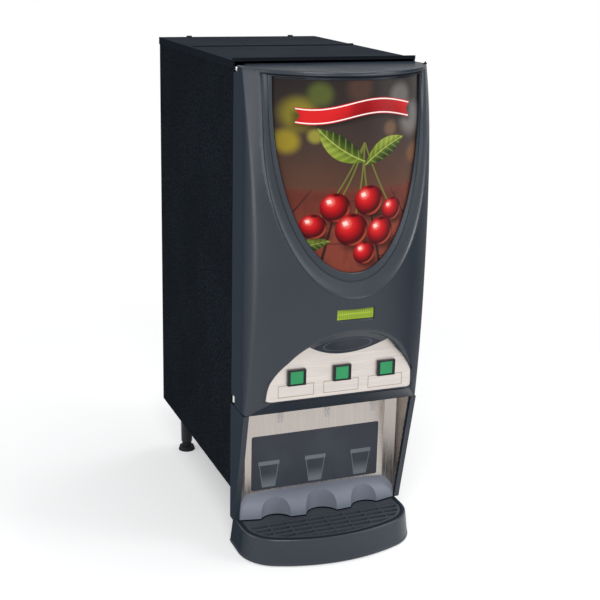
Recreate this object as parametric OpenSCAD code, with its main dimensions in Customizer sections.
// Three-flavour powdered drink dispenser, millimetres.
// Cabinet frame: x across, y from the cabinet's front edge to its back, z up from its bottom edge.
// at_cabinet() moves it so that the origin is the centre of the footprint on the counter.

/* [Cabinet] */
// Width over the side panels
cab_w = 270; // [262:1:300]
// Depth of the side panels
cab_d = 380; // [370:1:430]
// Thickness of the sheet metal
sheet = 1.5; // [1:0.1:2]
// Height of the legs
leg_h = 90; // [85:1:120]
// Diameter of a leg's foot
foot_d = 29; // [24:1:40]
// Inset of the legs from the cabinet's sides and back
leg_inset = 32; // [24:1:40]
// Gap between faces that move past each other
gap = 0.3; // [0.2:0.05:0.5]
// Radial clearance of a turning fit
run_fit = 0.06; // [0.02:0.01:0.1]

/* [Top] */
// Length of the hinged lid
lid_len = 204.7; // [150:0.1:240]
// Thickness of the lid sheet
lid_t = 1.2; // [0.8:0.1:2]
// Height of the lip at the lid's front edge
lid_lip = 3.5; // [2:0.1:6]
// Height of the skirts of the lid and the cover
skirt_h = 11; // [8:0.5:16]
// Diameter of the lid's hinge knuckles
knuckle_d = 5; // [4:0.1:6]
// Diameter of the lid's hinge pin
lid_pin_d = 2.6; // [2:0.1:3]

/* [Door] */
// Height of the door's bottom edge over the cabinet's bottom
door_z0 = 136; // [130:1:142]
// Wall of the door moulding
door_wall = 3.5; // [2.5:0.1:4]
// Largest radius of the bulged front
bulge_r = 181; // [176:1:186]
// Height where the bulge is largest
bulge_z = 250; // [230:1:270]
// Radius of the bulge from top to bottom
bulge_run = 2208; // [2000:1:2600]
// Lean of the bulge's axis, in degrees
door_lean = 3.75; // [3:0.05:4.5]
// Distance of the bulge's axis behind the cabinet's front edge
bulge_back = 48; // [44:0.5:52]
// Radius of the door's side edges in plan
side_r = 120; // [100:1:140]
// Depth at which the door's sides start to curve
side_y = 40; // [34:1:46]
// Rise and set-back of the chin under the control plate
chin = 28; // [24:1:32]
// Diameter of the door's hinge pins
door_pin_d = 6; // [5:0.1:8]
// Distance of the hinge pin from the door's outer side
hinge_in = 5.5; // [5:0.1:7]
// Distance of the hinge pin in front of the cabinet
hinge_y = 8.5; // [7:0.1:10]

/* [Picture] */
// Half width of the picture at its top
pic_a = 107; // [100:1:112]
// Height of the picture's lowest point over the display
pic_up = 55; // [50:0.5:60]
// Height of the picture's straight sides
pic_drop = 25; // [20:1:40]
// Half width of the dished bezel at its top
bezel_a = 121; // [117:1:123]
// Height of the bezel's lowest point over the display
bezel_up = 22.5; // [16:0.5:30]
// Height of the bezel's straight sides
bezel_drop = 78; // [60:1:90]
// Largest radius of the picture's own bulge
pic_r = 164; // [160:0.5:168]
// Height where the picture's bulge is largest
pic_z = 250; // [240:1:260]
// Radius of the picture's bulge from top to bottom
pic_run = 3450; // [3000:10:4000]
// Thickness of the picture panel
pic_t = 2; // [1.5:0.1:3]

/* [Controls] */
// Radius of the half-round control plate
plate_r = 111.3; // [106:0.1:113]
// Thickness of the control plate
plate_t = 1.2; // [0.8:0.1:2]
// Distance of the control plate's face in front of the cabinet
plate_y = 88; // [84:0.5:90]
// Spacing of the buttons
button_pitch = 68.6; // [60:0.1:72]
// Height of the buttons over the plate's bottom edge
button_up = 33.9; // [28:0.1:40]
// Width of a button's bezel
button_w = 27; // [24:0.5:30]
// Height of a button's bezel
button_h = 23; // [20:0.5:28]
// How far a bezel stands out of the plate
button_out = 4; // [3:0.5:8]
// Travel of a button
button_travel = 3; // [2:0.1:4]
// Width of the display window's opening
lcd_w = 55; // [45:0.5:60]
// Height of the display window's opening
lcd_h = 15.5; // [12:0.5:18]
// Height of the display over the plate's bottom edge
lcd_up = 132.5; // [126:0.5:138]

/* [Cup bay] */
// Spacing of the nozzles, mixers and hoppers
pitch = 73.6; // [73:0.1:76]
// Distance of the nozzles in front of the cabinet
nozzle_y = 41; // [38:0.5:44]
// Height of the nozzle tips
nozzle_tip = 112; // [104:1:118]
// Outer diameter of a nozzle
nozzle_d = 11; // [9:0.5:13]
// Thickness of the wings beside the cup bay
wing_t = 8; // [6:0.5:10]
// Depth of the wings at their top
wing_top = 59; // [54:0.5:66]
// Depth of the wings at their foot
wing_foot = 19; // [16:0.5:30]
// How far the bay reaches below the cabinet's bottom
bay_drop = 47.5; // [44:0.5:52]
// Thickness of the splash sheet
splash_t = 1; // [0.8:0.1:1.5]
// Height of the cup rest
rest_h = 33; // [28:0.5:40]
// Radius of the cup rest's rounded top
rest_round = 30; // [18:0.5:32]
// Depth of the cup rest at its middle
rest_y = 32.5; // [28:0.5:36]
// Radius of the cup rest's bow in plan
rest_bow = 547; // [480:1:700]
// Radius of the cup rest's scallops
scallop_r = 26.8; // [24:0.1:28]

/* [Drip tray] */
// How far the tray's foot stands out beyond the door's sides
tray_out = 0.5; // [-5:0.5:5]
// Radius of the tray's front corners
tray_corner = 60; // [50:1:66]
// Radius of the tray's bowed front
tray_bow = 265; // [240:1:300]
// Depth of the tray to its front
tray_y = 114.5; // [108:0.5:120]
// Height of the tray
tray_h = 40; // [34:0.5:42]
// Wall of the tray
tray_wall = 3; // [2:0.1:4]
// Inward slope of the tray's wall at its rim
tray_slope = 8; // [6:0.5:11]
// Width of the tray's flat rim
tray_rim = 5; // [4:0.5:8]
// Thickness of the grille
grille_t = 3.5; // [2.5:0.1:5]
// Spacing of the grille's bars
bar_pitch = 12; // [8:0.5:14]
// Width of a grille bar
bar_w = 5; // [3:0.1:6]
// Spacing of the grille's cross ribs
rib_pitch = 30; // [24:0.5:36]

/* [Drink works] */
// Height of the hopper shelf's top
shelf_z = 334; // [326:1:340]
// Height of the hoppers
hopper_h = 264; // [240:1:300]
// Room between the hoppers' rims and the cabinet's top edge
hopper_room = 26.3; // [22:0.1:60]
// Width of a hopper
hopper_w = 70; // [64:0.5:71]
// Length of a hopper
hopper_len = 292; // [270:1:296]
// Wall of a hopper
hopper_wall = 2; // [1.5:0.1:3]
// Radius of the trough round an auger
trough_r = 16; // [15:0.5:17]
// Radius of an auger
auger_r = 14; // [12:0.5:14.5]
// Pitch of an auger's flight
auger_pitch = 32; // [26:1:40]
// Radius of a motor shaft
shaft_r = 4; // [3:0.1:5]
// Length of an elbow's spout below the auger
elbow_drop = 50; // [44:0.5:50]
// Height of the whippers
whip_z = 188; // [184:1:192]
// Radius of a mixing chamber
chamber_r = 25; // [23:0.5:27]
// Distance of the bulkhead behind the cabinet's front edge
bulk_y = 66; // [60:1:72]
// Width of the hot water tank
tank_w = 150; // [120:1:180]
// Depth of the hot water tank
tank_d = 180; // [150:1:190]
// Height of the hot water tank
tank_h = 190; // [170:1:192]
// Side of the fan
fan_w = 80; // [70:1:84]
// Length of the water stub behind the cabinet
stub_out = 16; // [12:1:24]

/* [Hidden] */
$fn = 96;

c_black = [0.10, 0.11, 0.13];
c_slate = [0.20, 0.21, 0.24];
c_door = [0.25, 0.27, 0.31];
c_rest = [0.42, 0.45, 0.50];
c_steel = [0.80, 0.78, 0.76];
c_clear = [0.85, 0.88, 0.90, 0.45];
c_green = [0.20, 0.62, 0.38];
c_brass = [0.75, 0.60, 0.30];

far = 400;
flavours = [-1, 0, 1];
half_w = cab_w / 2;
cab_h = shelf_z + hopper_h + hopper_room;
inner_w = half_w - sheet;
eps = 0.01;

// The top: hinge line, sheet and skirts.
top_z = cab_h + gap;
top_h = top_z + lid_t;
cover_y = lid_len + 1.6;
lid_axis_y = (lid_len + cover_y) / 2;
lid_axis_z = top_h + 0.5;
skirt_x = half_w + gap;
skirt_t = 0.7;
lid_front = 1;
knuckle_in = 5;
knuckle_len = 38;
knuckle_gap = 2;
lid_knuckle = half_w - knuckle_in - knuckle_len - knuckle_gap;
cover_knuckle = lid_knuckle - knuckle_len - knuckle_gap;
lid_knuckles = [for (s = [-1, 1]) [s * (lid_knuckle - knuckle_len / 2) - knuckle_len / 2, knuckle_len]];
cover_knuckles = [[-half_w + knuckle_in, knuckle_len], [-cover_knuckle, 2 * cover_knuckle],
    [half_w - knuckle_in - knuckle_len, knuckle_len]];

// The door: outside, bulge, chin and hinge.
door_top = cab_h - 2.8;
door_gap = 2.5;
door_hw = half_w + 0.5;
axis_z = 300;
chin_y = plate_y + 1.5;
plate_z = door_z0 + chin;
hinge_x = -door_hw + hinge_in;
ear_h = 10;
notch_w = hinge_in + 9;
notch_y = hinge_y + 8.5;
notch_top = door_top - 10;
notch_low = door_z0 + 14;
bracket_t = 3;
recess_r = plate_r + gap;
badge_r1 = 92.4;
badge_r2 = 92.7;
badge_up = 63;
badge_h = 34;
badge_low = plate_z + badge_up;
badge_high = badge_low + badge_h;
badge_slope = 37;
boss_y = plate_y + 3;
button_z = plate_z + button_up;
button_side = 3.5;
button_edge = 2;
well_w = button_w - 2 * button_side;
well_h = button_h - 2 * button_edge;
lcd_z = plate_z + lcd_up;
lcd_y = 124;
pic_top = door_top - 8.5;
bezel_top = door_top - 3.5;
pic_b = pic_top - pic_drop - lcd_z - pic_up;
bezel_b = bezel_top - bezel_drop - lcd_z - bezel_up;
bezel_n = 2.1;
pic_n = 2.1;
dish_back = 40;
lip_back = 62;
dish_side = 72;
dish_top = 9;
side_steps = 3;
rim_out = door_wall + gap;
pic_seat = 0.8;
liner_y = 31;
liner_t = 1.5;
liner_z = shelf_z + 56;
strike_y = door_gap + 2.5;

// The cup bay, splash, rest and tray.
bay_z = -bay_drop;
bay_top = door_z0 - 1.5;
bay_x = door_hw - wing_t;
splash_x = bay_x;
bend_x = bay_x - 14;
bend_y = 14;
deck_z = door_z0 - 2.5;
splash_y = 0;
rest_c = rest_bow - rest_y;
rest_top = bay_z + rest_h;
rest_x = splash_x - splash_t - gap;
tray_a = door_hw + tray_out;
tray_z = -leg_h + 1.5;
tray_top = min(tray_z + tray_h, bay_z - 1);
ledge_z = tray_top - grille_t - 1;
ledge_w = 2;
rim_in = tray_slope + tray_rim;
grille_rim = 4;
rib_w = 2;
tray_back = 1;
tongue_x = 58;
tongue_w = 24;
tongue_t = 6;
tongue_len = 60;
tongue_z = tray_z + 12.5;
rail_wall = 2;
rail_web = 6;
corner_x = tray_a - tray_corner;
bow_y = tray_bow - tray_y;
corner_y = bow_y - sqrt(pow(tray_bow - tray_corner, 2) - corner_x * corner_x);
bow_turn = asin(corner_x / (tray_bow - tray_corner));

// Drink works.
auger_z = shelf_z + trough_r + hopper_wall;
hopper_y = 24;
shelf_y = hopper_y + 0.5;
hopper_back = hopper_y + hopper_len;
plate_back = hopper_back + 14;
hopper_top = shelf_z + hopper_h;
fill_x = hopper_w / 2 - 8;
fill_y = hopper_y + 9;
fill_back = lid_len - 16;
fill_rim = 9;
collar_len = 13;
collar_r = trough_r + 1.4;
elbow_r = collar_r + 2.6;
spout_r = 18;
spout_y = -8;
funnel_top = shelf_z - 70;
funnel_r = 33;
neck_r = 14;
funnel_y = spout_y;
chamber_front = -34;
chamber_back = 30;
tube_z = funnel_top - 30;
tube_r = 5;
tube_bore = tube_r - 1.6;
tank_z = 14;
tank_y = bulk_y + 84;
valve_y = tank_y + 20;
whip_shaft = 3;
whip_r = 17;

// Rear fittings.
fan_x = -half_w + 65;
fan_z = 270;
vent_x = half_w - 65;
vent_z = cab_h - 194;
vent_h = 110;
fan_t = 25;
fan_open = fan_w / 2 - 6;
fan_y = cab_d - sheet - fan_t;
spindle_r = 2.5;
switch_x = -half_w + 50;
switch_z = 60;
gland_x = half_w - 45;
gland_z = 50;
gland_hole = 10;
cord_r = 4.2;
stub_x = 0;
stub_z = 45;
stub_r = 5.55;
screw_r = 2;
screw_len = 6;
head_r = 4.5;
head_h = 2.6;
screw_in = 12;
screw_up = 40;
screw_down = 64;
top_screws = [for (s = [-1, 1]) [s * (half_w - 47), cab_d - 2 * head_r]];
rear_screws = [for (s = [-1, 1]) for (z = [screw_up, (screw_up + cab_h - screw_down) / 2, cab_h - screw_down])
    [s * (inner_w - screw_in), z]];

// Bought-in pieces.
motor_r = 26;
motor_len = 56.5;
gear_w = 50;
gear_low = 15;
gear_high = 42;
gear_t = 18.5;
can_r = 17;
can_up = 20;
can_end = 4;
valve_w = 22;
valve_d = 24;
coil_r = 13;
coil_h = 28;
coil_up = 12;
board_len = 130;
board_h = 90;
board_t = 1.6;
board_gap = 8;
board_z = 150;
board_back = 30;
post_r = 3;
post_in = 8;
chip_t = 7;

front_z = lcd_z + bezel_up;
front_y = bulge_at(front_z) - axis_at(front_z);
y_shift = -(cab_d + stub_out - front_y) / 2;

// Radius of the door's bulge and y of its leaning axis at a height.
function bulge_at(z) = bulge_r - pow(z - bulge_z, 2) / (2 * bulge_run);
function axis_at(z) = bulge_back - (z - axis_z) * tan(door_lean);
function pic_at(z) = pic_r - pow(z - pic_z, 2) / (2 * pic_run);
function fan_slot(z) = sqrt(fan_open * fan_open - z * z);
function y_of(r, x, z) = axis_at(z) - sqrt(max(r * r - x * x, 1));

// Shield outline: straight sides of height drop over a half superellipse, under a straight top edge.
function shield(a, b, n, top, drop) = concat(
    [for (k = [0:side_steps - 1]) [a, top - drop * k / side_steps]],
    [for (i = [0:dish_side]) let (t = 180 * i / dish_side)
        [a * sign(cos(t)) * pow(abs(cos(t)), 2 / n), top - drop - b * pow(sin(t), 2 / n)]],
    [for (k = [side_steps - 1:-1:0]) [-a, top - drop * k / side_steps]],
    [for (k = [1:dish_top]) [a * (2 * k / (dish_top + 1) - 1), top]]);

module at_cabinet() {
    translate([0, y_shift, leg_h]) children();
}

module box(x, y, z) {
    translate([x[0], y[0], z[0]]) cube([x[1] - x[0], y[1] - y[0], z[1] - z[0]]);
}

// A round bar along Y between two depths.
module rod_y(r, y0, y1, x = 0, z = 0) {
    translate([x, y0, z]) rotate([-90, 0, 0]) cylinder(r = r, h = y1 - y0);
}

// A round bar along X between two places.
module rod_x(r, x0, x1, y, z) {
    translate([x0, y, z]) rotate([0, 90, 0]) cylinder(r = r, h = x1 - x0);
}

// A 2D outline drawn in x and z, extruded along Y.
module slab_y(y0, y1) {
    translate([0, y1, 0]) rotate([90, 0, 0]) linear_extrude(y1 - y0) children();
}

// A 2D outline drawn in y and z, extruded along X.
module slab_x(x0, x1) {
    translate([x0, 0, 0]) rotate([90, 0, 90]) linear_extrude(x1 - x0) children();
}

module each_flavour() {
    for (f = flavours) translate([f * pitch, 0, 0]) children();
}

// Height of the front line at a distance along the leaning axis, for a surface of about radius r.
function level(s, r) = axis_z + s * cos(door_lean) - r * sin(door_lean);

// Surface of revolution about the door's leaning axis.
module leaning_round(profile) {
    translate([0, bulge_back, axis_z]) rotate([door_lean, 0, 0])
        rotate_extrude($fn = 180) polygon(concat([[0, profile[0][1]]], profile,
            [[0, profile[len(profile) - 1][1]]]));
}

module door_round(grow) {
    leaning_round([for (s = [-210:30:390]) [bulge_at(level(s, bulge_r)) * cos(door_lean) + grow, s]]);
}

module picture_round(grow) {
    leaning_round([for (s = [-30:20:390]) [pic_at(level(s, pic_r)) * cos(door_lean) + grow, s]]);
}

module door_plan(inset, rear) {
    intersection() {
        union() {
            translate([-door_hw + inset, -side_y]) square([2 * (door_hw - inset), side_y + far]);
            for (s = [-1, 1]) translate([s * (door_hw - side_r), -side_y]) circle(r = side_r - inset);
        }
        translate([-far, -far]) square([2 * far, far - rear]);
    }
}

// Outside of the door, or its hollow when inset is the wall.
module door_body(inset, rear, z0, z1) {
    difference() {
        intersection() {
            door_round(-inset);
            translate([0, 0, z0]) linear_extrude(z1 - z0) door_plan(inset, rear);
        }
        slab_x(-far, far) translate([inset * 0.7, inset * 0.7])
            polygon([[-chin_y + chin, door_z0], [-chin_y, plate_z], [-far, plate_z], [-far, 0],
                [-chin_y + chin, 0]]);
    }
}

// Solid in front of the dished bezel: ruled from the picture's edge to the bezel's edge.
module dish(shift, inset, back) {
    inner = shield(pic_a, pic_b, pic_n, pic_top, pic_drop);
    outer = shield(bezel_a, bezel_b, bezel_n, bezel_top, bezel_drop);
    tube = shield(pic_a - inset, pic_b - inset, pic_n, pic_top - inset, pic_drop);
    n = len(inner);
    lip = [for (p = inner) [p[0], y_of(pic_at(p[1]), p[0], p[1]) - rim_out + shift, p[1]]];
    edge = [for (p = outer) [p[0], y_of(bulge_at(p[1]), p[0], p[1]) + shift + 0.2, p[1]]];
    front = [for (p = edge) [p[0], -far / 2, p[2]]];
    rear = [for (p = tube) [p[0], -back, p[1]]];
    middle = pic_top - pic_b / 3;
    polyhedron(
        points = concat(front, edge, lip, rear, [[0, -far / 2, middle], [0, -back, middle]]),
        faces = concat(
            [for (i = [0:n - 1]) [4 * n, i, (i + 1) % n]],
            [for (k = [0:2]) for (i = [0:n - 1]) [k * n + (i + 1) % n, k * n + i, (k + 1) * n + i]],
            [for (k = [0:2]) for (i = [0:n - 1])
                [(k + 1) * n + (i + 1) % n, k * n + (i + 1) % n, (k + 1) * n + i]],
            [for (i = [0:n - 1]) [4 * n + 1, 3 * n + (i + 1) % n, 3 * n + i]]));
}

module half_round(r, y0, y1, z0) {
    intersection() {
        rod_y(r, y0, y1, 0, plate_z);
        box([-far, far], [y0, y1], [z0, far]);
    }
}

// Space in front of the slanted badge face, moved forward by lift.
module badge_front(lift) {
    translate([0, -boss_y - lift, badge_low]) rotate([badge_slope, 0, 0])
        box([-far, far], [-far, 0], [-far, far]);
}

// Lens-shaped outline between the lower arc and an upper arc.
module lens(inset, upper_r, upper_c) {
    intersection() {
        translate([0, badge_low + badge_r2]) circle(r = badge_r2 - inset);
        translate([0, upper_c]) circle(r = upper_r - inset);
    }
}

module badge_boss() {
    difference() {
        slab_y(-far / 2, -plate_y + plate_t) lens(0, recess_r, plate_z);
        badge_front(-2);
    }
}

module at_buttons() {
    for (f = flavours) translate([f * button_pitch, 0, button_z]) children();
}

module button_cut(w, h) {
    translate([-w / 2, -w / 2 * h / w]) square([w, h]);
}

module door_shell() color(c_door) at_cabinet() {
    wall_y = plate_y - plate_t;
    difference() {
        union() {
            difference() {
                door_body(0, door_gap, door_z0, door_top);
                door_body(door_wall, -far / 4, 0, door_top - door_wall);
            }
            intersection() {
                door_body(0, door_gap, door_z0, door_top);
                union() {
                    dish(door_wall, 2, lip_back);
                    half_round(recess_r + door_wall, -far / 2, -wall_y + door_wall, plate_z - door_wall);
                    box([-lcd_w / 2 - 7, lcd_w / 2 + 7], [-far / 2, -lcd_y], [lcd_z - 14, lcd_z + 14]);
                    box([-door_hw, hinge_x + notch_w - hinge_in], [-notch_y - 2, -door_gap],
                        [notch_top - ear_h, notch_top]);
                    box([-door_hw, hinge_x + notch_w - hinge_in], [-notch_y - 2, -door_gap],
                        [notch_low, notch_low + ear_h]);
                }
            }
        }
        dish(0, 0, dish_back);
        difference() {
            half_round(recess_r, -far / 2, -wall_y, plate_z);
            badge_boss();
        }
        box([-lcd_w / 2, lcd_w / 2], [-far / 2, -lcd_y + 1], [lcd_z - lcd_h / 2, lcd_z + lcd_h / 2]);
        box([-lcd_w / 2 - 1.5, lcd_w / 2 + 1.5], [-lcd_y - 3, -lcd_y + 1],
            [lcd_z - lcd_h / 2 - 1.5, lcd_z + lcd_h / 2 + 1.5]);
        at_buttons() slab_y(-wall_y - 1, -wall_y + door_wall + 1) button_cut(button_w - 1.4, button_h - 1.4);
        for (z = [[notch_top, far * 2], [0, notch_low]])
            box([-far, hinge_x + notch_w - hinge_in], [-notch_y, 0], z);
        translate([hinge_x, -hinge_y, 0]) cylinder(d = door_pin_d + 2 * run_fit, h = cab_h);
    }
}

module door_liner() color("white") at_cabinet() {
    x = door_hw - door_wall;
    strike_z = liner_z + 30;
    union() {
        box([-x, x], [-liner_y, -liner_y + liner_t], [liner_z, door_top - door_wall]);
        box([-x, x], [-liner_y - 18, -liner_y + 1], [liner_z + 1, liner_z + 1 + liner_t]);
        box([x - 22, x - 1], [-liner_y + 1, -strike_y], [strike_z, strike_z + 30]);
    }
}

module graphic_panel() color([0.45, 0.16, 0.12]) at_cabinet() {
    grow = 4;
    intersection() {
        difference() {
            picture_round(-pic_seat);
            picture_round(-pic_seat - pic_t);
        }
        slab_y(-far / 2, -50)
            polygon(shield(pic_a + grow / 2, pic_b + grow / 2, pic_n, pic_top + grow / 2, pic_drop + grow / 2));
    }
}

module picture_lamp() color([0.95, 0.95, 0.90]) at_cabinet() {
    z = (pic_top + liner_z) / 2;
    len = 2 * pic_a - 20;
    y = -liner_y - 20;
    union() {
        rod_x(8, -len / 2, len / 2, y, z);
        box([-len / 2 - 4, len / 2 + 4], [-liner_y - 8, -liner_y], [z - 11, z + 11]);
        for (s = [-1, 1]) translate([s * (len / 2 - 2), 0, 0])
            box([-6, 6], [y - 9, -liner_y - 7], [z - 10, z + 10]);
    }
}

module control_plate() color(c_steel) at_cabinet() {
    difference() {
        half_round(plate_r, -plate_y, -plate_y + plate_t, plate_z + gap);
        slab_y(-plate_y - 1, -plate_y + plate_t + 1) lens(-gap, recess_r, plate_z);
        at_buttons() slab_y(-plate_y - 1, -plate_y + plate_t + 1) button_cut(button_w - 1.4, button_h - 1.4);
        door_outside();
    }
}

// Space outside the door moulding's hollow side, so that the plate ends at the bulged wall.
module door_outside() {
    difference() {
        box([-far, far], [-far, -plate_y + plate_t + 1], [0, far]);
        door_round(-gap);
    }
}

module badge() color([0.10, 0.11, 0.13]) at_cabinet() {
    upper_c = badge_high - badge_r1;
    difference() {
        slab_y(-far / 2, -plate_y) lens(1, badge_r1 + 1, upper_c);
        badge_front(1.5);
        difference() {
            box([-far, far], [-far, far], [0, far]);
            badge_front(-2);
        }
    }
}

module display_window() color([0.65, 0.77, 0.20]) at_cabinet()
    box([-lcd_w / 2 - 1.3, lcd_w / 2 + 1.3], [-lcd_y - 3, -lcd_y - 0.4],
        [lcd_z - lcd_h / 2 - 1.3, lcd_z + lcd_h / 2 + 1.3]);

module display_module() color([0.10, 0.35, 0.20]) at_cabinet() {
    union() {
        box([-lcd_w / 2 - 0.8, lcd_w / 2 + 0.8], [-lcd_y - 0.4, -lcd_y + 8],
            [lcd_z - lcd_h / 2 - 0.8, lcd_z + lcd_h / 2 + 0.8]);
        box([-lcd_w / 2 - 7, lcd_w / 2 + 7], [-lcd_y, -lcd_y + 8], [lcd_z - 13, lcd_z + 13]);
        box([-lcd_w / 2 - 12, lcd_w / 2 + 12], [-lcd_y + 8, -lcd_y + 9.6], [lcd_z - 16, lcd_z + 18]);
    }
}

module button_bezels() color(c_black) at_cabinet() {
    body_back = plate_y - plate_t - 24;
    difference() {
        at_buttons() union() {
            slab_y(-plate_y - button_out, -plate_y) button_cut(button_w, button_h);
            slab_y(-plate_y, -body_back) button_cut(button_w - 2, button_h - 2);
        }
        at_buttons() slab_y(-plate_y - button_out - 1, -body_back - 3) button_cut(well_w, well_h);
    }
}

// One square cap on a stem that its body's floor guides.
module button(i) color(c_green) at_cabinet() {
    body_back = plate_y - plate_t - 24;
    w = well_w - 2 * gap;
    h = well_h - 2 * gap;
    translate([flavours[i] * button_pitch, 0, button_z])
        slab_y(-plate_y - button_out + 0.8, -body_back - 3 - gap - button_travel) button_cut(w, h);
}

module base_pan() color(c_black) at_cabinet() {
    difference() {
        box([-inner_w, inner_w], [sheet, cab_d - sheet], [0, 18]);
        box([-inner_w + sheet, inner_w - sheet], [sheet * 2, cab_d - 2 * sheet], [sheet, far]);
        at_legs() cylinder(r = 4.1, h = far, center = true);
    }
}

module side_panel(s) {
    box(s < 0 ? [-half_w, -inner_w] : [inner_w, half_w], [0, cab_d], [0, cab_h]);
}

module left_side_panel() color(c_black) at_cabinet() side_panel(-1);

module right_side_panel() color(c_black) at_cabinet() side_panel(1);

module rear_panel() color(c_black) at_cabinet() {
    difference() {
        box([-inner_w, inner_w], [cab_d - sheet, cab_d], [0, cab_h]);
        for (p = rear_screws) rod_y(screw_r + 0.1, 0, far * 2, p[0], p[1]);
        for (z = [-28:8:28]) translate([fan_x, 0, fan_z + z])
            box(fan_slot(z) * [-1, 1], [0, far * 2], [-2.2, 2.2]);
        for (z = [vent_z:14:vent_z + vent_h]) box([-vent_x, vent_x], [0, far * 2], [z, z + 4]);
        rod_y(gland_hole, 0, far * 2, gland_x, gland_z);
        rod_y(stub_r + 2, 0, far * 2, stub_x, stub_z);
        box([switch_x - 11, switch_x + 11], [0, far * 2], [switch_z - 14, switch_z + 14]);
    }
}

// Folded sheet of the top between two depths: flat top with side skirts.
module top_sheet(y0, y1, skirt_y) {
    union() {
        box([-skirt_x - skirt_t, skirt_x + skirt_t], [y0, y1], [top_z, top_h]);
        for (s = [-1, 1]) translate([s * (skirt_x + skirt_t / 2), 0, 0])
            box([-skirt_t / 2, skirt_t / 2], [skirt_y, y1], [top_h - skirt_h, top_h]);
    }
}

// Room for a row of knuckles in the sheet that they turn beside.
module knuckle_room(spans) {
    for (k = spans) box([k[0] - 1, k[0] + k[1] + 1],
        [lid_axis_y - knuckle_d / 2 - 0.6, lid_axis_y + knuckle_d / 2 + 0.6], [0, far * 3]);
}

module rear_top_cover() color(c_slate) at_cabinet() {
    difference() {
        union() {
            top_sheet(cover_y, cab_d + skirt_t, cover_y);
            box([-skirt_x, skirt_x], [cab_d, cab_d + skirt_t], [top_h - skirt_h, top_h]);
            for (k = cover_knuckles) box([k[0], k[0] + k[1]], [lid_axis_y, cover_y + 2], [top_z, top_h]);
            for (k = cover_knuckles) rod_x(knuckle_d / 2, k[0], k[0] + k[1], lid_axis_y, lid_axis_z);
        }
        knuckle_room(lid_knuckles);
        rod_x(lid_pin_d / 2, -far, far, lid_axis_y, lid_axis_z);
        for (p = top_screws) translate([p[0], p[1], 0]) cylinder(r = screw_r + 0.1, h = far * 3);
    }
}

module top_lid() color(c_slate) at_cabinet() {
    difference() {
        union() {
            top_sheet(-lid_front, lid_len, 0);
            box([-skirt_x - skirt_t, skirt_x + skirt_t], [-lid_front, 1.8], [top_h, top_h + lid_lip]);
            for (k = lid_knuckles) box([k[0], k[0] + k[1]], [lid_len - 2, lid_axis_y], [top_z, top_h]);
            for (k = lid_knuckles) rod_x(knuckle_d / 2, k[0], k[0] + k[1], lid_axis_y, lid_axis_z);
        }
        knuckle_room(cover_knuckles);
        rod_x(lid_pin_d / 2 + run_fit, -far, far, lid_axis_y, lid_axis_z);
    }
}

module lid_hinge_pin() color(c_steel) at_cabinet()
    rod_x(lid_pin_d / 2, -half_w + knuckle_in, half_w - knuckle_in, lid_axis_y, lid_axis_z);

module pan_screw() {
    union() {
        cylinder(r = screw_r, h = screw_len);
        translate([0, 0, -head_h]) cylinder(r = head_r, h = head_h);
    }
}

module screws() color(c_slate) at_cabinet() {
    for (p = top_screws) translate([p[0], p[1], top_h]) rotate([180, 0, 0]) pan_screw();
    for (p = rear_screws) translate([p[0], cab_d, p[1]]) rotate([90, 0, 0]) pan_screw();
}

module hopper_shelf() color(c_steel) at_cabinet() {
    difference() {
        union() {
            box([-inner_w, inner_w], [shelf_y, plate_back + sheet], [shelf_z - sheet, shelf_z]);
            box([-inner_w, inner_w], [shelf_y, shelf_y + sheet], [shelf_z - 14, shelf_z]);
            box([-inner_w, inner_w], [plate_back, plate_back + sheet], [shelf_z, shelf_z + 70]);
        }
        each_flavour() rod_y(shaft_r + 1, 0, far, 0, auger_z);
    }
}

module bulkhead() color(c_steel) at_cabinet() {
    difference() {
        box([-inner_w, inner_w], [bulk_y, bulk_y + sheet], [18, shelf_z - sheet]);
        each_flavour() {
            rod_y(whip_shaft + 3, 0, far, 0, whip_z);
            rod_y(tube_r + gap, 0, far, 0, tube_z);
        }
    }
}

module wing(s) {
    x = s < 0 ? [-door_hw, -bay_x] : [bay_x, door_hw];
    slab_x(x[0], x[1]) polygon([[0, bay_top], [-wing_top, bay_top], [-wing_foot, bay_z], [0, bay_z]]);
}

module left_wing() color(c_door) at_cabinet() wing(-1);

module right_wing() color(c_door) at_cabinet() wing(1);

// Folded sheet in plan: flat back, slanted bends and side walls along the wings.
module splash_plan(t) {
    polygon([[-splash_x + t, -far], [-splash_x + t, -bend_y], [-bend_x + t / 2, -t], [bend_x - t / 2, -t],
        [splash_x - t, -bend_y], [splash_x - t, -far], [splash_x, -far], [splash_x, -bend_y],
        [bend_x, 0], [-bend_x, 0], [-splash_x, -bend_y], [-splash_x, -far]]);
}

module splash_panel() color(c_steel) at_cabinet() {
    set_back = 5;
    slope = (wing_top - wing_foot) / (bay_top - bay_z);
    difference() {
        union() {
            translate([0, 0, bay_z]) linear_extrude(deck_z - bay_z) splash_plan(splash_t);
            box([-bend_x, bend_x], [-nozzle_y - 12, 0], [deck_z - splash_t, deck_z]);
        }
        slab_x(-far, far) polygon([[-wing_top + set_back + slope * 2, bay_top + 2],
            [-wing_foot + set_back - slope * 2, bay_z - 2], [-far * 2, bay_z - 2], [-far * 2, bay_top + 2]]);
        each_flavour() translate([0, -nozzle_y, deck_z]) cylinder(d = nozzle_d + 8, h = 10, center = true);
    }
}

module rest_footprint(grow) {
    difference() {
        translate([0, rest_c]) circle(r = rest_bow + grow, $fn = 360);
        each_flavour() translate([0, -nozzle_y]) circle(r = scallop_r - grow);
    }
}

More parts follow.
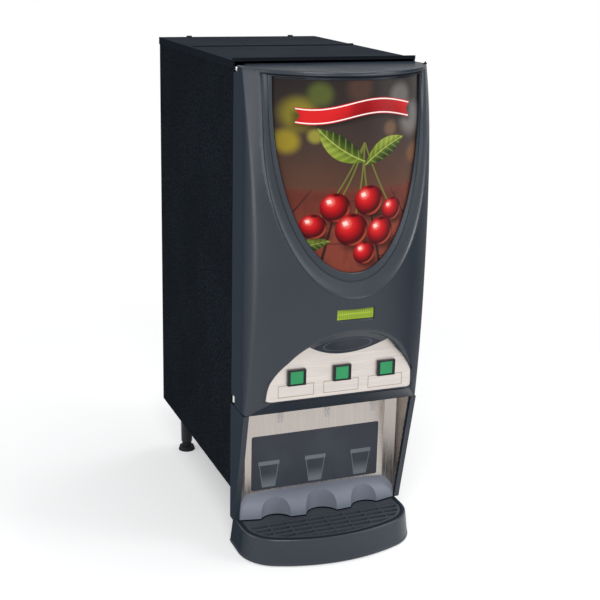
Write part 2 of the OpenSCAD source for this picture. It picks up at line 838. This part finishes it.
module cup_rest() color(c_rest) at_cabinet() {
    difference() {
        intersection() {
            translate([0, rest_c, bay_z]) rotate_extrude($fn = 360) difference() {
                translate([rest_bow - 60, 0]) square([60, rest_h]);
                difference() {
                    translate([rest_bow - rest_round, rest_h - rest_round]) square(rest_round + 1);
                    translate([rest_bow - rest_round, rest_h - rest_round]) circle(r = rest_round);
                }
            }
            box([-rest_x, rest_x], [-far, -splash_t], [-far, far]);
            translate([0, 0, -far]) linear_extrude(far * 2) polygon([[-far, -far], [-rest_x, -bend_y - gap],
                [-bend_x + splash_t / 2 + gap, -splash_t], [bend_x - splash_t / 2 - gap, -splash_t],
                [rest_x, -bend_y - gap], [far, -far]]);
        }
        each_flavour() translate([0, -nozzle_y, -far]) cylinder(r = scallop_r, h = far * 2);
    }
}

// The tray's outline in plan: straight sides, round corners and a bowed front.
function tray_outline(inset, back) = concat(
    [[tray_a - inset, -back]],
    [for (i = [0:16]) let (t = 90 - (90 - bow_turn) * i / 16)
        [corner_x, corner_y] + (tray_corner - inset) * [sin(t), -cos(t)]],
    [for (i = [1:23]) let (t = bow_turn * (1 - i / 12)) [0, bow_y] + (tray_bow - inset) * [sin(t), -cos(t)]],
    [for (i = [0:16]) let (t = -bow_turn - (90 - bow_turn) * i / 16)
        [-corner_x, corner_y] + (tray_corner - inset) * [sin(t), -cos(t)]],
    [[-tray_a + inset, -back]]);

module tray_plan(inset, back = tray_back) {
    polygon(tray_outline(inset, back));
}

module drip_tray() color(c_door) at_cabinet() {
    slices = [[0, 0], [0.9, 0.62], [0.97, 0.8], [1, 1]];
    difference() {
        union() {
            hull() for (s = slices) translate([0, 0, tray_z + s[0] * (tray_top - tray_z - 1)])
                linear_extrude(1) tray_plan(s[1] * tray_slope);
            for (s = [-1, 1]) translate([s * tongue_x, 0, 0])
                box([-tongue_w / 2, tongue_w / 2], [-tray_back - 2, tongue_len],
                    [tongue_z, tongue_z + tongue_t]);
        }
        translate([0, 0, tray_z + tray_wall]) linear_extrude(far)
            tray_plan(rim_in + ledge_w, tray_back + tray_wall);
        translate([0, 0, ledge_z]) linear_extrude(far) tray_plan(rim_in, -5);
    }
}

// Bars along X with cross ribs, in a rim that follows the tray and clears the cup rest.
module grille_plan() {
    inset = rim_in + gap;
    difference() {
        tray_plan(inset);
        rest_footprint(0.8);
        difference() {
            tray_plan(inset + grille_rim, rest_y + 3);
            for (y = [-tray_y:bar_pitch:0]) translate([-far, y]) square([2 * far, bar_w]);
            for (x = [-3:3]) translate([x * rib_pitch - rib_w / 2, -far]) square([rib_w, 2 * far]);
        }
    }
}

module drip_grille() color(c_black) at_cabinet()
    translate([0, 0, ledge_z + gap]) linear_extrude(grille_t) grille_plan();

module tray_rails() color(c_steel) at_cabinet() {
    w = tongue_w / 2 + gap;
    y = [4, tongue_len + 4];
    slot = [tongue_z - gap, tongue_z + tongue_t + gap];
    for (s = [-1, 1]) translate([s * tongue_x, 0, 0]) difference() {
        union() {
            box([-w - rail_wall, w + rail_wall], y, [slot[0] - rail_wall, slot[1] + rail_wall]);
            box([-rail_web / 2, rail_web / 2], y, [slot[1], 0]);
            box([-w, w], y, [-rail_wall, 0]);
        }
        box([-w, w], [0, far], slot);
    }
}

module at_legs() {
    for (x = [-1, 1]) for (y = [leg_inset, cab_d - leg_inset + 3])
        translate([x * (half_w - leg_inset - 2), y, 0]) children();
}

module legs() color(c_black) at_cabinet() at_legs() union() {
    translate([0, 0, -leg_h + 16]) cylinder(r1 = 9.5, r2 = 11, h = leg_h - 16);
    cylinder(r = 4, h = 10);
    translate([0, 0, sheet]) cylinder(r = 7.5, h = 6, $fn = 6);
}

module feet() color(c_black) at_cabinet() at_legs() translate([0, 0, -leg_h]) union() {
    cylinder(d1 = foot_d, d2 = foot_d - 4, h = 7);
    cylinder(r = 8, h = 16);
}

module door_hinges() color(c_steel) at_cabinet() {
    x = [-inner_w, hinge_x + 5];
    top = notch_top + 2;
    low = notch_low - 11;
    union() {
        box(x, [-hinge_y - 5, 16], [top, top + bracket_t]);
        box([-inner_w, -inner_w + bracket_t], [3, 16], [top - 24, top]);
        translate([hinge_x, -hinge_y, notch_top - ear_h + 1]) cylinder(d = door_pin_d, h = ear_h + 2);
        translate([hinge_x, -hinge_y, top + bracket_t]) cylinder(d = door_pin_d + 3, h = 2);
    }
    union() {
        box(x, [-hinge_y - 5, 16], [low, low + bracket_t]);
        box([-inner_w, -inner_w + bracket_t], [3, 16], [low, low + 24]);
        translate([hinge_x, -hinge_y, low]) cylinder(d = door_pin_d, h = 11 + ear_h - 1);
        translate([hinge_x, -hinge_y, low]) cylinder(d = door_pin_d + 4, h = 11 - gap);
    }
}

module door_magnet() color(c_black) at_cabinet() union() {
    box([inner_w - 24, inner_w - 3], [-strike_y + gap, 8], [liner_z + 31, liner_z + 59]);
    box([inner_w - 24, inner_w], [4, 14], [liner_z + 31, liner_z + 59]);
}

// Hopper section: a box that narrows to a round trough, inset for its hollow.
module hopper_section(inset, top) {
    w = hopper_w / 2 - inset;
    r = trough_r + hopper_wall - inset;
    union() {
        translate([0, auger_z]) circle(r = r);
        polygon([[-r, auger_z], [-w, auger_z + 56], [-w, top], [w, top], [w, auger_z + 56], [r, auger_z]]);
    }
}

module hoppers() color([0.30, 0.31, 0.33]) at_cabinet() each_flavour() difference() {
    union() {
        slab_y(hopper_y, hopper_back) hopper_section(0, hopper_top);
        box([-12, 12], [shelf_y, hopper_back], [shelf_z, auger_z]);
        rod_y(collar_r, hopper_y - collar_len, hopper_y + 1, 0, auger_z);
    }
    slab_y(hopper_y + hopper_wall, hopper_back - hopper_wall) hopper_section(hopper_wall, far * 2);
    rod_y(trough_r - 0.8, 0, hopper_y + hopper_wall + 1, 0, auger_z);
    rod_y(shaft_r + 0.4, hopper_back - 10, hopper_back + 1, 0, auger_z);
}

// Snap-on covers, each with a collared fill opening under the hinged lid.
module hopper_lids() color(c_black) at_cabinet() each_flavour() difference() {
    x = hopper_w / 2;
    union() {
        box([-x - 1, x + 1], [hopper_y - 1, hopper_back + 1], [hopper_top, hopper_top + 3]);
        box([-x + hopper_wall + gap, x - hopper_wall - gap],
            [hopper_y + hopper_wall + gap, hopper_back - hopper_wall - gap], [hopper_top - 6, hopper_top]);
        box([-fill_x - 2, fill_x + 2], [fill_y - 2, fill_back + 2], [hopper_top, hopper_top + fill_rim]);
    }
    box([-x + hopper_wall + 2, x - hopper_wall - 2],
        [hopper_y + hopper_wall + 2, hopper_back - hopper_wall - 2], [hopper_top - 7, hopper_top]);
    box([-fill_x, fill_x], [fill_y, fill_back], [hopper_top - 7, hopper_top + far]);
}

module auger(i) color([0.92, 0.92, 0.90]) at_cabinet() {
    turns = floor((hopper_len - 24) / auger_pitch);
    front = hopper_y - collar_len + 3;
    hub = hopper_back - hopper_wall - 2;
    len = hub - 16 - front;
    translate([flavours[i] * pitch, 0, auger_z]) union() {
        translate([0, front + len, 0]) rotate([90, 0, 0])
            linear_extrude(len, twist = 360 * turns, slices = turns * 10, $fn = 6)
                polygon([[auger_r, 1.2], [0, 4.2], [-auger_r, 1.2], [-auger_r, -1.2], [0, -4.2],
                    [auger_r, -1.2]]);
        difference() {
            rod_y(8, hub - 17, hub);
            rod_y(shaft_r + run_fit, hub - 14, hub + 1);
        }
    }
}

module auger_motors() color(c_steel) at_cabinet() {
    back = cab_d - sheet - can_end;
    front = plate_back + sheet;
    each_flavour() union() {
        rod_y(shaft_r, hopper_back - hopper_wall - 15, front + 3, 0, auger_z);
        box([-gear_w / 2, gear_w / 2], [front, front + gear_t], [auger_z - gear_low, auger_z + gear_high]);
        rod_y(can_r, front + gear_t, back, 0, auger_z + can_up);
    }
}

// Outlet elbow that turns on the hopper's collar.
module elbow(i) color([0.90, 0.90, 0.88]) at_cabinet() translate([flavours[i] * pitch, 0, 0]) difference() {
    union() {
        rod_y(elbow_r, spout_y - spout_r, hopper_y - gap, 0, auger_z);
        translate([0, spout_y, auger_z - elbow_drop]) cylinder(r = spout_r, h = elbow_drop);
    }
    rod_y(collar_r + run_fit, spout_y - spout_r + 2.5, hopper_y, 0, auger_z);
    translate([0, spout_y, auger_z - elbow_drop - 1]) cylinder(r = spout_r - 2, h = elbow_drop + 1);
}

module mixing_chambers() color([0.88, 0.90, 0.92]) at_cabinet() each_flavour() difference() {
    union() {
        rod_y(chamber_r, chamber_front, chamber_back, 0, whip_z);
        rod_y(chamber_r - 7, chamber_back, bulk_y, 0, whip_z);
        translate([0, funnel_y, whip_z]) cylinder(r = neck_r + 2.5, h = 30);
        translate([0, funnel_y, whip_z + 28])
            cylinder(r1 = neck_r + 2.5, r2 = funnel_r, h = funnel_top - whip_z - 28);
        translate([0, -nozzle_y, deck_z + 14]) cylinder(r = 9, h = whip_z - deck_z - 14);
        rod_y(tube_r + 2, funnel_y + neck_r, chamber_back + 8, 0, tube_z);
    }
    rod_y(chamber_r - 2.5, chamber_front + 2.5, chamber_back - 2.5, 0, whip_z);
    rod_y(whip_shaft + 1.5, 0, far, 0, whip_z);
    translate([0, funnel_y, whip_z]) cylinder(r = neck_r, h = 29);
    translate([0, funnel_y, whip_z + 28])
        cylinder(r1 = neck_r, r2 = funnel_r - 2.5, h = funnel_top - whip_z - 28 + eps);
    translate([0, -nozzle_y, 0]) cylinder(r = 6, h = whip_z + 4);
    rod_y(6, -nozzle_y, chamber_front + 4, 0, whip_z - 10);
    rod_y(tube_r - 1.5, funnel_y, far, 0, tube_z);
}

module nozzles() color(c_clear) at_cabinet() each_flavour() translate([0, -nozzle_y, 0]) difference() {
    union() {
        translate([0, 0, nozzle_tip]) cylinder(d1 = nozzle_d - 3, d2 = nozzle_d, h = 14);
        translate([0, 0, nozzle_tip + 14]) cylinder(d = nozzle_d, h = deck_z + 20 - nozzle_tip - 14);
        translate([0, 0, deck_z + 9]) cylinder(r = 9, h = 5);
    }
    cylinder(d = nozzle_d - 5, h = far);
}

module whipper_motors() color([0.25, 0.25, 0.27]) at_cabinet() each_flavour() union() {
    rod_y(motor_r, bulk_y + sheet, bulk_y + sheet + motor_len, 0, whip_z);
    rod_y(whip_shaft, 4, bulk_y + 10, 0, whip_z);
}

module whipper(i) color([0.90, 0.90, 0.88]) at_cabinet()
    translate([flavours[i] * pitch, 0, 0]) difference() {
        union() {
            rod_y(6, 2, 22, 0, whip_z);
            rod_y(whip_r, 16, 19, 0, whip_z);
            for (a = [0:60:300]) translate([0, 0, whip_z]) rotate([0, a, 0])
                box([5, whip_r], [5, 17], [-1, 1]);
        }
        rod_y(whip_shaft + run_fit, 3.5, far, 0, whip_z);
    }

module rounded_plan(w, d, r) {
    union() {
        translate([-w / 2 + r, 0]) square([w - 2 * r, d]);
        translate([-w / 2, r]) square([w, d - 2 * r]);
        for (x = [-1, 1]) for (y = [r, d - r]) translate([x * (w / 2 - r), y]) circle(r = r);
    }
}

module hot_water_tank() color(c_steel) at_cabinet() translate([0, tank_y, tank_z]) difference() {
    union() {
        linear_extrude(tank_h) rounded_plan(tank_w, tank_d, 18);
        for (x = [-1, 1]) for (y = [24, tank_d - 24]) translate([x * (tank_w / 2 - 24), y, sheet - tank_z])
            cylinder(r = 6, h = tank_z - sheet + 1);
    }
    translate([0, 1.2, 1.2]) linear_extrude(tank_h) rounded_plan(tank_w - 2.4, tank_d - 2.4, 16.8);
}

module tank_lid() color(c_steel) at_cabinet() translate([0, tank_y, tank_z + tank_h]) union() {
    translate([0, -4, 0]) linear_extrude(2) rounded_plan(tank_w + 8, tank_d + 8, 20);
    for (s = [-1, 1]) for (p = [[pitch / 2, 12], [tank_w / 2 - 4, tank_d / 2], [tank_w / 2 - 4, tank_d - 12]])
        translate([s * p[0], p[1], 2]) cylinder(r = 4, h = 3.5, $fn = 6);
}

module heater() color(c_brass) at_cabinet() translate([0, tank_y + tank_d - 60, tank_z + tank_h]) union() {
    for (s = [-1, 1]) translate([s * 28, 0, -tank_h + 60]) cylinder(r = 4.5, h = tank_h - 60);
    translate([0, 0, -tank_h + 60]) rotate([90, 0, 0]) rotate_extrude(angle = -180)
        translate([28, 0]) circle(r = 4.5);
}

module dispense_valves() color(c_brass) at_cabinet() {
    z = tank_z + tank_h + 2;
    each_flavour() translate([0, valve_y, 0]) union() {
        box([-valve_w / 2, valve_w / 2], [-valve_d / 2, valve_d / 2], [z, tube_z + coil_up]);
        translate([0, 0, tube_z + coil_up]) cylinder(r = coil_r, h = coil_h);
        rod_y(tube_bore - 0.05, -valve_d / 2 - 18, -valve_d / 2 + 2, 0, tube_z);
    }
}

module water_tubes() color([0.90, 0.88, 0.84]) at_cabinet() each_flavour() difference() {
    rod_y(tube_r, chamber_back + 8, valve_y - valve_d / 2, 0, tube_z);
    rod_y(tube_bore, 0, far, 0, tube_z);
}

module inlet_valve() color(c_brass) at_cabinet() {
    back = cab_d - sheet;
    union() {
        rod_y(stub_r, back - 24, cab_d + stub_out, stub_x, stub_z);
        rod_y(stub_r + 5, back - 5, back, stub_x, stub_z);
        box([stub_x - 16, stub_x + 16], [back - 36, back - 5], [stub_z - 12, stub_z + 12]);
        translate([stub_x, back - 20, stub_z + 12]) cylinder(r = 13, h = 26);
    }
}

module control_board() color([0.08, 0.32, 0.18]) at_cabinet() {
    x = inner_w - board_gap;
    y = tank_y - board_back;
    z = board_z;
    face = x - board_t + 0.1;
    union() {
        box([x - board_t, x], [y, y + board_len], [z, z + board_h]);
        for (dy = [post_in, board_len - post_in]) for (dz = [post_in, board_h - post_in])
            translate([x - 0.1, y + dy, z + dz]) rotate([0, 90, 0]) cylinder(r = post_r, h = board_gap + 0.1);
        translate([0, y + 2 * post_in, z + board_h * 0.45])
            box([x - 2 * board_gap, face], [0, board_len * 0.24], [0, board_h * 0.37]);
        for (k = [0:3]) translate([0, y + board_len * (0.46 + 0.115 * k), z + board_h * 0.14])
            box([x - 2 * chip_t, face], [0, board_len * 0.085], [0, board_h * 0.24]);
        translate([0, y + board_len * 0.5, z + board_h * 0.58])
            box([x - chip_t, face], [0, board_len * 0.3], [0, board_h * 0.2]);
    }
}

module fan_housing() color(c_black) at_cabinet() translate([fan_x, 0, fan_z]) difference() {
    union() {
        difference() {
            box([-fan_w / 2, fan_w / 2], [fan_y, fan_y + fan_t], [-fan_w / 2, fan_w / 2]);
            rod_y(fan_w / 2 - 3, 0, far * 2);
        }
        for (a = [0, 60, 120]) rotate([0, a, 0])
            box([-fan_w / 2 + 2, fan_w / 2 - 2], [fan_y, fan_y + 3], [-2.5, 2.5]);
        rod_y(14, fan_y, fan_y + 3);
        rod_y(spindle_r, fan_y, fan_y + 20);
    }
    for (x = [-1, 1]) for (z = [-1, 1]) rod_y(2.2, 0, far * 2, x * (fan_w / 2 - 5), z * (fan_w / 2 - 5));
}

module fan_rotor() color([0.16, 0.17, 0.18]) at_cabinet() translate([fan_x, 0, fan_z]) difference() {
    union() {
        rod_y(15, fan_y + 4, fan_y + 22);
        for (a = [0:60:300]) rotate([0, a, 0]) translate([0, fan_y + 13, 0])
            rotate([35, 0, 0]) box([13, fan_w / 2 - 5], [-8, 8], [-0.9, 0.9]);
    }
    rod_y(spindle_r + run_fit, 0, fan_y + 20.5);
}

module cord_gland() color(c_black) at_cabinet() difference() {
    union() {
        rod_y(gland_hole - 0.1, cab_d - 12, cab_d + 4, gland_x, gland_z);
        rod_y(gland_hole + 4, cab_d, cab_d + 4, gland_x, gland_z);
        translate([gland_x, cab_d + 4, gland_z]) rotate([-90, 0, 0]) cylinder(r1 = 10, r2 = 7.5, h = 8);
        rod_y(gland_hole + 3, cab_d - sheet - 5, cab_d - sheet, gland_x, gland_z);
    }
    rod_y(cord_r, 0, far * 2, gland_x, gland_z);
}

module main_switch() color(c_black) at_cabinet() translate([switch_x, 0, switch_z]) difference() {
    union() {
        box([-13.5, 13.5], [cab_d, cab_d + 2.5], [-16.5, 16.5]);
        box([-10.9, 10.9], [cab_d - 22, cab_d], [-13.9, 13.9]);
    }
    box([-8.5, 8.5], [cab_d - 16, cab_d + 5], [-12, 12]);
    rod_x(1.5 + run_fit, -10, 10, cab_d - 1, 0);
}

// Rocker with a shallow V face, drawn at its rest tilt, on two small trunnions.
module switch_rocker() color([0.10, 0.10, 0.11]) at_cabinet()
    translate([switch_x, cab_d - 1, switch_z]) union() {
        slab_x(-8, 8)
            polygon([[-7, -4], [-2, -10.2], [1.2, -10.8], [3.4, 0], [6, 10.2], [-1, 10.2], [-7, 4]]);
        rod_x(1.5, -9.7, 9.7, 0, 0);
    }

module button_1() button(0);

module button_2() button(1);

module button_3() button(2);

module auger_1() auger(0);

module auger_2() auger(1);

module auger_3() auger(2);

module whipper_1() whipper(0);

module whipper_2() whipper(1);

module whipper_3() whipper(2);

module elbow_1() elbow(0);

module elbow_2() elbow(1);

module elbow_3() elbow(2);

base_pan();
left_side_panel();
right_side_panel();
rear_panel();
rear_top_cover();
screws();
hopper_shelf();
bulkhead();
left_wing();
right_wing();
splash_panel();
cup_rest();
tray_rails();
door_hinges();
lid_hinge_pin();
hoppers();
hopper_lids();
auger_motors();
mixing_chambers();
nozzles();
whipper_motors();
dispense_valves();
water_tubes();
hot_water_tank();
tank_lid();
heater();
inlet_valve();
control_board();
fan_housing();
cord_gland();
main_switch();
legs();
feet();
door_magnet();
door_shell();
door_liner();
graphic_panel();
picture_lamp();
control_plate();
badge();
display_module();
display_window();
button_bezels();
button_1();
button_2();
button_3();
top_lid();
drip_tray();
drip_grille();
auger_1();
auger_2();
auger_3();
whipper_1();
whipper_2();
whipper_3();
elbow_1();
elbow_2();
elbow_3();
fan_rotor();
switch_rocker();
